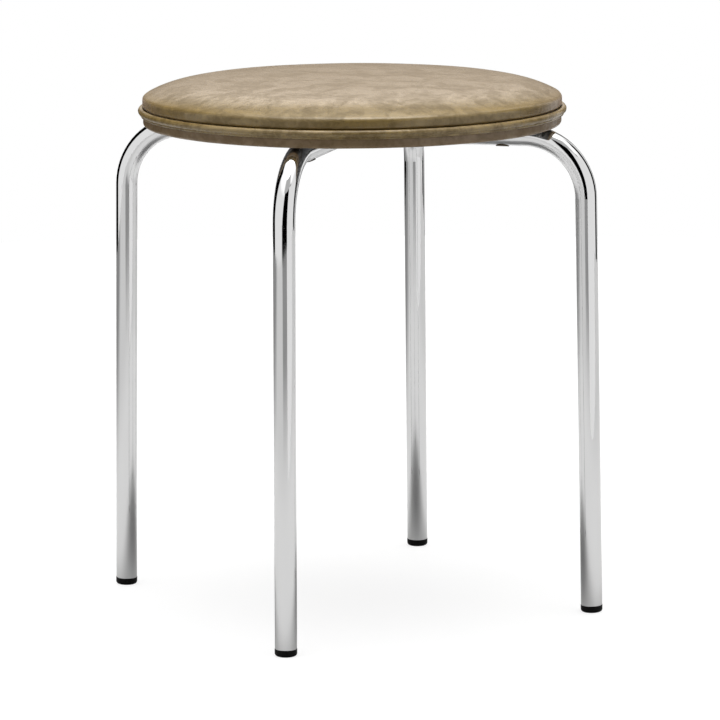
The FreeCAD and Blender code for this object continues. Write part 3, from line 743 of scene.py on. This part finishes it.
class STOOL_OT_piping(StoolOperator, bpy.types.Operator):
    """Run the piping round the seat: a fat roll with a small ridge under it"""
    bl_idname = "stool.piping"
    bl_label = "Piping"

    def execute(self, context):
        seat = context.scene.stool_seat
        finish = context.scene.stool_finish
        roll = np.array([piping_high.x - seat.roll_radius, piping_high.z - seat.roll_radius])
        ridge = roll - np.array([seat.ridge_back, seat.ridge_drop])
        flange_gap, flange_rise, flange_wall, pucker = 0.0010, 0.0011, 0.0007, 0.00012
        flange_r = board_high.x + flange_gap
        flange_out = flange_r + flange_wall
        flange_z = board_low.z + flange_rise
        # Closed outline: the roll's arc, the ridge's smaller arc under it, and a flange up the board's rim
        outline = np.concatenate([
            arc(roll, seat.roll_radius, 178, -79, 40),
            arc(ridge, seat.ridge_radius, 39, -88, 14),
            [[flange_out, ridge[1] - seat.ridge_radius], [flange_out, flange_z],
             [flange_r, flange_z], [flange_r, roll[1]]],
        ])
        outline = softened(spaced(np.concatenate([outline, outline[:1]]), 97)[:-1], 2)
        grid, turn = turned(outline, 360)
        # Sines round the seat push the outline out, most at the outside of the roll
        puckers = waves(turn, ((0.4, 53, 0.3), (0.3, 31, 1.9), (0.3, 87, 3.3), (0.5, 7, 0.8)))
        out = np.clip((outline[:, 0] - flange_r) / (piping_high.x - flange_r), 0, 1)
        swell = 1 + pucker * out[:, None] * puckers / outline[:, 0].max()
        grid[:, :, :2] *= swell[:, :, None]
        mesh = ring_mesh("piping", grid, closed=True)
        # Painted shade: the piping's colour falls to 0.05 of itself inwards from the roll, under it and down
        # the flange
        skin = leatherette("piping_leatherette", finish.piping_light, finish.piping_dark,
                           by_radius(flange_r, roll[0] + 0.0003, 0.05), patch=0.018, gloss=0.31, bloom=0.05)
        placed("piping", mesh, skin, "piping_leatherette", "piping_cover", "piping_cord")
        return {"FINISHED"}


def band_line(seat, offset):
    """Band from its top edge to the hem's inner edge, offset from the middle of the leatherette: straight
    down the rim, a quarter turn under the tacking strip, and two opposite turns up to the board."""
    middle = band_high.x - seat.leather_thickness / 2
    low = band_low.z + seat.leather_thickness / 2
    hem = board_low.z - seat.leather_thickness / 2
    turn = math.degrees(math.acos(1 - (hem - low) / (2 * seat.hem_turn_radius)))
    strip_under = 0.004
    strip_in = middle - seat.band_corner - strip_under
    fold = strip_in - 2 * seat.hem_turn_radius * math.sin(math.radians(turn))
    return np.concatenate([
        [[middle + offset, band_high.z]],
        arc((middle - seat.band_corner, low + seat.band_corner), seat.band_corner + offset, 0, -90, 14),
        arc((strip_in, low + seat.hem_turn_radius), seat.hem_turn_radius + offset, -90, -90 - turn, 8),
        arc((fold, hem - seat.hem_turn_radius), seat.hem_turn_radius - offset, 90 - turn, 90, 8),
        [[seat.hem_reach, hem - offset]],
    ])


class STOOL_OT_side_band(StoolOperator, bpy.types.Operator):
    """Pull the leatherette band down the rim and under the board"""
    bl_idname = "stool.side_band"
    bl_label = "Side band"

    def execute(self, context):
        seat = context.scene.stool_seat
        finish = context.scene.stool_finish
        half = seat.leather_thickness / 2
        # Two offsets of one line close the outline, and slow sines move its lower edge up and down
        outer = spaced(band_line(seat, half), 60)
        inner = spaced(band_line(seat, -half), 40)
        outline = np.concatenate([outer, inner[::-1]])
        grid, turn = turned(outline, 288)
        drop = waves(turn, ((0.5, 5, 0.2), (0.4, 11, 2.6), (0.3, 29, 1.1)))
        slack = 0.00008
        grid[:, :, 2] += slack * drop * (outline[:, 0, None] > strip_high.x)
        mesh = ring_mesh("side_band_strip", grid, closed=True)
        # Painted shade: the band's colour falls to a tenth of itself where it turns under the board
        skin = leatherette("band_leatherette", finish.band_light, finish.band_dark,
                           by_radius(strip_high.x, band_high.x - 0.0012, 0.1),
                           patch=0.022, gloss=0.45, bloom=0.05)
        placed("side_band_strip", mesh, skin, "band_leatherette", "side_band")
        return {"FINISHED"}


class STOOL_OT_dust_cloth(StoolOperator, bpy.types.Operator):
    """Stretch the dust cloth over the underside"""
    bl_idname = "stool.dust_cloth"
    bl_label = "Dust cloth"

    def execute(self, context):
        seat = context.scene.stool_seat
        finish = context.scene.stool_finish
        first_ring, last_ring, inset, clearance = 0.006, 0.008, 0.0001, 0.00001
        step_in, step_out, pleat, pleats_round = 0.0045, 0.0020, 0.00018, 32
        rim, thickness = dust_high.x, dust_high.z - dust_low.z - seat.leather_thickness
        # A disc whose rim steps down by the hem's thickness
        flat = np.linspace(first_ring, rim - last_ring, 40)
        radius = np.concatenate([flat, rim - np.array([step_in, step_out, inset])])
        stepped = radius >= rim - step_out
        top = np.stack([radius, dust_high.z - clearance - stepped * seat.leather_thickness], axis=1)
        low = top - np.array([0.0, thickness])
        outline = np.concatenate([top, low[::-1]])
        grid, turn = turned(outline, 240)
        # Between the tubes it sags by a hump along the radius, with pleats near the rim
        share = np.clip(outline[:, 0] / rim, 0, 1)[:, None]
        free = np.sin(2 * turn) ** 2
        sag = seat.dust_sag * free * np.sin(np.pi * np.clip(share / 0.93, 0, 1)) ** 1.5
        near_rim = np.exp(-((share - 0.9) / 0.05) ** 2)
        pleats = pleat * np.sin(pleats_round * turn + 0.6 * np.sin(3 * turn)) * free * near_rim
        grid[:, :, 2] -= sag + np.abs(pleats)
        poles = ((0.0, 0.0, grid[0, 0, 2]), (0.0, 0.0, grid[-1, 0, 2]))
        mesh = ring_mesh("dust_cloth", grid, poles=poles)
        material, tree, shader, where = new_material("spun_cloth")
        fibres = noise(tree, stretched(tree, where, (1.0, 0.25, 1.0)), 1600.0, 3.0, 0.6, 1.5)
        dark, light = ([factor * c for c in finish.cloth] for factor in (0.5, 2.2))
        tone = blend_colours(tree, fibres, dark, light)
        tree.links.new(tone, shader.inputs["Base Color"])
        set_shader(shader, Roughness=0.85, Sheen_Weight=0.15)
        bumped(tree, shader, fibres, 0.0001)
        piece = placed("dust_cloth", mesh, material, "dust_cloth", "dust_cover")
        return {"FINISHED"}


# Soft edges of the studio in degrees: heights above the horizon, and turns away from the camera's side

OPENING_TOP = (40, 43)
WALL_RISE = (34, 46)
LAMP_RIM = (62, 67)
LAMP_CORE = (74, 80)
SURROUND_SIDE = (102, 106)
SURROUND_TOP = (46, 50)
SLIT = (134, 150)
SWEEP_SIDE = (154, 176)
SWEEP_FOOT = (-2, 1)
SWEEP_TOP = (38, 44)
SWEEP_RISE = (4, 50)
SCREEN_TOP = (56, 66)

# Turns of the opening's sides per height, and of the cove over it, in radians

OPENING_LEAN = -0.25
COVE_SHIFT = -0.2

# Corners of the white card in metres, across and towards the camera

CARD_FEET = ((0.32, 0.90), (1.60, 0.30))
CARD_LEAN = 0.23
CARD_HEIGHT = 1.2


def studio_light(stage, world):
    """A white room round the stool: a lamp straight above, white walls that brighten upwards, a dark opening
    before the stool under a grey piece of ceiling, and a warm white sweep behind it in a dark surround, which
    has a white slit at the right. Screens keep some of the walls' light off the stool."""
    tree = world.node_tree
    tree.nodes.clear()
    where = add(tree, "ShaderNodeTexCoord").outputs["Generated"]
    spun = add(tree, "ShaderNodeVectorRotate", {"Vector": where, "Angle": -stage.azimuth},
               rotation_type="Z_AXIS").outputs[0]
    x, y, z = add(tree, "ShaderNodeSeparateXYZ", {0: spun}).outputs
    round_it = maths(tree, "ARCTAN2", x, maths(tree, "MULTIPLY", y, -1.0))
    away = maths(tree, "ABSOLUTE", round_it)
    height = maths(tree, "ARCSINE", z)
    leant = maths(tree, "MULTIPLY_ADD", height, OPENING_LEAN, round_it)
    path = add(tree, "ShaderNodeLightPath").outputs

    def past(value, edge, low=0.0, high=1.0, smooth=True):
        return ramped(tree, value, *np.radians(edge), low, high, smooth)

    def above(edge):
        return past(height, edge)

    def below(edge):
        return past(height, edge, 1.0, 0.0)

    front = between(tree, leant, stage.opening_from, stage.opening_to, math.radians(2))
    opening = product(tree, below(OPENING_TOP), front)
    slit = between(tree, round_it, *np.radians(SLIT), math.radians(3))
    surround = product(tree, past(away, SURROUND_SIDE), below(SURROUND_TOP), inverse(tree, slit))
    dark = maths(tree, "MAXIMUM", opening, surround)
    over = between(tree, leant, stage.opening_from + COVE_SHIFT, stage.opening_to + COVE_SHIFT,
                   math.radians(6))
    grey = product(tree, over, above(OPENING_TOP), below(LAMP_RIM))
    room = blend(tree, grey, past(height, WALL_RISE, stage.wall, stage.high_wall), stage.cove)
    room = maths(tree, "MULTIPLY_ADD", above(LAMP_RIM), stage.lamp - stage.high_wall, room)
    room = maths(tree, "MULTIPLY_ADD", above(LAMP_CORE), stage.core - stage.lamp, room)
    sweep = product(tree, past(away, SWEEP_SIDE), above(SWEEP_FOOT), below(SWEEP_TOP))
    glare = past(height, SWEEP_RISE, stage.sweep_low, stage.sweep_high, smooth=False)
    light = maths(tree, "MULTIPLY_ADD", sweep, glare, product(tree, room, inverse(tree, dark)))
    screen = ramped(tree, x, -0.6, 0.6, stage.left_screen, stage.right_screen)
    screened = product(tree, path["Is Diffuse Ray"], below(SCREEN_TOP))
    light = blend(tree, screened, light, product(tree, light, screen))
    strength = blend(tree, path["Is Camera Ray"], light, 1.0)
    warm = product(tree, sweep, inverse(tree, path["Is Camera Ray"]))
    tone = blend_colours(tree, warm, (1.0, 1.0, 1.0), stage.sweep_tint)
    glow = add(tree, "ShaderNodeBackground", {"Color": tone, "Strength": strength})
    end = add(tree, "ShaderNodeOutputWorld")
    tree.links.new(glow.outputs[0], end.inputs["Surface"])


def toward_camera(stage, turn=0.0):
    """Level direction from the stool to the camera, or a turn to the right of it."""
    return np.array([math.sin(stage.azimuth + turn), -math.cos(stage.azimuth + turn)])


def white_card(stage):
    """Card beside the camera's line of sight, which only shows in the chrome: a plane between two upright
    edges, each a line from the floor to the card's top. The left one leans."""
    low = np.array(CARD_FEET)
    high = low + np.array([[CARD_LEAN, 0.0], [0.0, 0.0]])
    axes = np.stack([toward_camera(stage, math.pi / 2), toward_camera(stage)])
    corners = np.concatenate([low, high[::-1]]) @ axes
    mesh = bpy.data.meshes.new("white_card")
    mesh.from_pydata(np.column_stack([corners, [0.0, 0.0, CARD_HEIGHT, CARD_HEIGHT]]), [], [(0, 1, 2, 3)])
    material, tree, shader, _ = new_material("white_card")
    tree.nodes.remove(shader)
    glow = add(tree, "ShaderNodeEmission", {"Color": (1.0, 1.0, 1.0, 1.0), "Strength": stage.card})
    tree.links.new(glow.outputs[0], tree.nodes["Material Output"].inputs["Surface"])
    mesh.materials.append(material)
    card = bpy.data.objects.new("white_card", mesh)
    for ray in ("camera", "diffuse", "transmission", "volume_scatter", "shadow"):
        setattr(card, "visible_" + ray, False)
    bpy.context.scene.collection.objects.link(card)


def mirrored_shade(tree, where, stage):
    """How much of the floor's paint the chrome mirrors at each place, painted shade that only the chrome
    sees: a painted shadow under the stool, and less far off, less at the left behind it and less before the
    opening."""
    def along(turn):
        aim = (*toward_camera(stage, turn), 0.0)
        return add(tree, "ShaderNodeVectorMath", {0: where, 1: aim}, operation="DOT_PRODUCT").outputs["Value"]

    toward, aside, behind = along(0.0), along(math.pi / 2), along(math.radians(-145))
    radius = add(tree, "ShaderNodeVectorMath", {0: where}, operation="LENGTH").outputs["Value"]
    round_it = maths(tree, "ARCTAN2", aside, toward)
    gap = between(tree, round_it, stage.opening_from, stage.opening_to - 0.45, 0.05)
    gap = product(tree, gap, ramped(tree, toward, 1.0, 1.95, 0.0, 0.55))
    # Painted shadow under the stool, and painted shade far off, at the left behind it and before the opening
    return product(
        tree, inverse(tree, gap), ramped(tree, behind, 0.4, 1.5, 1.0, 0.4),
        ramped(tree, radius, 0.7, 1.3, 0.97, 0.84), ramped(tree, radius, 0.10, 0.34, 0.6, 1.0))


def pale_floor(stage):
    """Round floor: a grid of rings about its middle. It is white to the camera but for the stool's shadow,
    with painted shade where the chrome mirrors it, and clear from below."""
    rings = np.linspace(0.02, stage.floor_radius, 24)
    grid, _ = turned(np.stack([rings, np.zeros(len(rings))], axis=1), 96)
    grid[:, :, :2] += stage.floor_forward * toward_camera(stage)
    mesh = ring_mesh("pale_floor", grid, poles=(tuple(grid[0].mean(axis=0)),))
    material, tree, shader, where = new_material("pale_floor")
    tree.nodes.remove(shader)
    speck = noise(tree, where, 6.0, 2.0)
    path = add(tree, "ShaderNodeLightPath").outputs

    def paint(shade, keep=1.0):
        tone = blend_colours(tree, speck, [shade * 0.99] * 3, [shade] * 3)
        return add(tree, "ShaderNodeBsdfDiffuse", {"Color": scaled(tree, tone, keep)}).outputs[0]

    def either(share, first, second):
        return add(tree, "ShaderNodeMixShader", {0: share, 1: first, 2: second}).outputs[0]

    mirrored = paint(stage.floor_shade, mirrored_shade(tree, where, stage))
    white = add(tree, "ShaderNodeEmission", {"Color": (1.0, 1.0, 1.0, 1.0), "Strength": 0.80})
    seen = add(tree, "ShaderNodeAddShader", {0: paint(0.26), 1: white.outputs[0]}).outputs[0]
    thrown = either(path["Is Diffuse Ray"], mirrored, paint(stage.floor_bounce))
    from_above = either(path["Is Camera Ray"], thrown, seen)
    clear = add(tree, "ShaderNodeBsdfTransparent").outputs[0]
    below = add(tree, "ShaderNodeNewGeometry").outputs["Backfacing"]
    tree.links.new(either(below, from_above, clear), tree.nodes["Material Output"].inputs["Surface"])
    mesh.materials.append(material)
    floor = bpy.data.objects.new("pale_floor", mesh)
    bpy.context.scene.collection.objects.link(floor)


class STOOL_OT_stage(StoolOperator, bpy.types.Operator):
    """Set up the pale floor, the white card, the studio light and the camera"""
    bl_idname = "stool.stage"
    bl_label = "Stage"

    def execute(self, context):
        scene = context.scene
        stage = scene.stool_stage
        scene.view_settings.view_transform = "Standard"
        world = bpy.data.worlds.new("studio")
        world.use_nodes = True
        scene.world = world
        studio_light(stage, world)
        pale_floor(stage)
        white_card(stage)
        lens = bpy.data.cameras.new("camera")
        lens.lens = stage.lens
        lens.sensor_width = 36.0
        lens.clip_start = 0.1
        lens.clip_end = 50.0
        camera = bpy.data.objects.new("camera", lens)
        scene.collection.objects.link(camera)
        right = Vector((*toward_camera(stage, math.pi / 2), 0.0))
        level = toward_camera(stage) * math.cos(stage.elevation)
        back = Vector((*level, math.sin(stage.elevation)))
        target = right * stage.target_side + Vector((0.0, 0.0, stage.target_height))
        camera.location = target + back * stage.distance
        facing = (-back).to_track_quat("-Z", "Y") @ Euler((0.0, 0.0, stage.roll)).to_quaternion()
        camera.rotation_mode = "QUATERNION"
        camera.rotation_quaternion = facing
        scene.camera = camera
        return {"FINISHED"}


STEPS = (
    STOOL_OT_tube_frame,
    STOOL_OT_plastic_ends,
    STOOL_OT_fasteners,
    STOOL_OT_seat_core,
    STOOL_OT_cushion,
    STOOL_OT_piping,
    STOOL_OT_side_band,
    STOOL_OT_dust_cloth,
    STOOL_OT_stage,
)


class STOOL_PT_panel(bpy.types.Panel):
    """Steps and settings of the stool"""
    bl_idname = "STOOL_PT_panel"
    bl_label = "Round stool"
    bl_space_type = "VIEW_3D"
    bl_region_type = "UI"
    bl_category = "Stool"

    def draw(self, context):
        for step in STEPS:
            self.layout.operator(step.bl_idname)
        for group in SETTINGS:
            settings = getattr(context.scene, group)
            box = self.layout.box()
            for name in settings.bl_rna.properties.keys():
                if name not in ("rna_type", "name"):
                    box.prop(settings, name)


SETTINGS = {"stool_seat": SeatSettings, "stool_finish": FinishSettings, "stool_stage": StageSettings}


def register():
    for kind in (*SETTINGS.values(), *STEPS, STOOL_PT_panel):
        bpy.utils.register_class(kind)
    for name, kind in SETTINGS.items():
        setattr(bpy.types.Scene, name, bpy.props.PointerProperty(type=kind))


def unregister():
    for name in SETTINGS:
        delattr(bpy.types.Scene, name)
    for kind in reversed((*SETTINGS.values(), *STEPS, STOOL_PT_panel)):
        bpy.utils.unregister_class(kind)


def main():
    """Build every piece and the stage."""
    register()
    bpy.ops.stool.tube_frame()
    bpy.ops.stool.plastic_ends()
    bpy.ops.stool.fasteners()
    bpy.ops.stool.seat_core()
    bpy.ops.stool.cushion()
    bpy.ops.stool.piping()
    bpy.ops.stool.side_band()
    bpy.ops.stool.dust_cloth()
    bpy.ops.stool.stage()


if __name__ == "__main__":
    main()
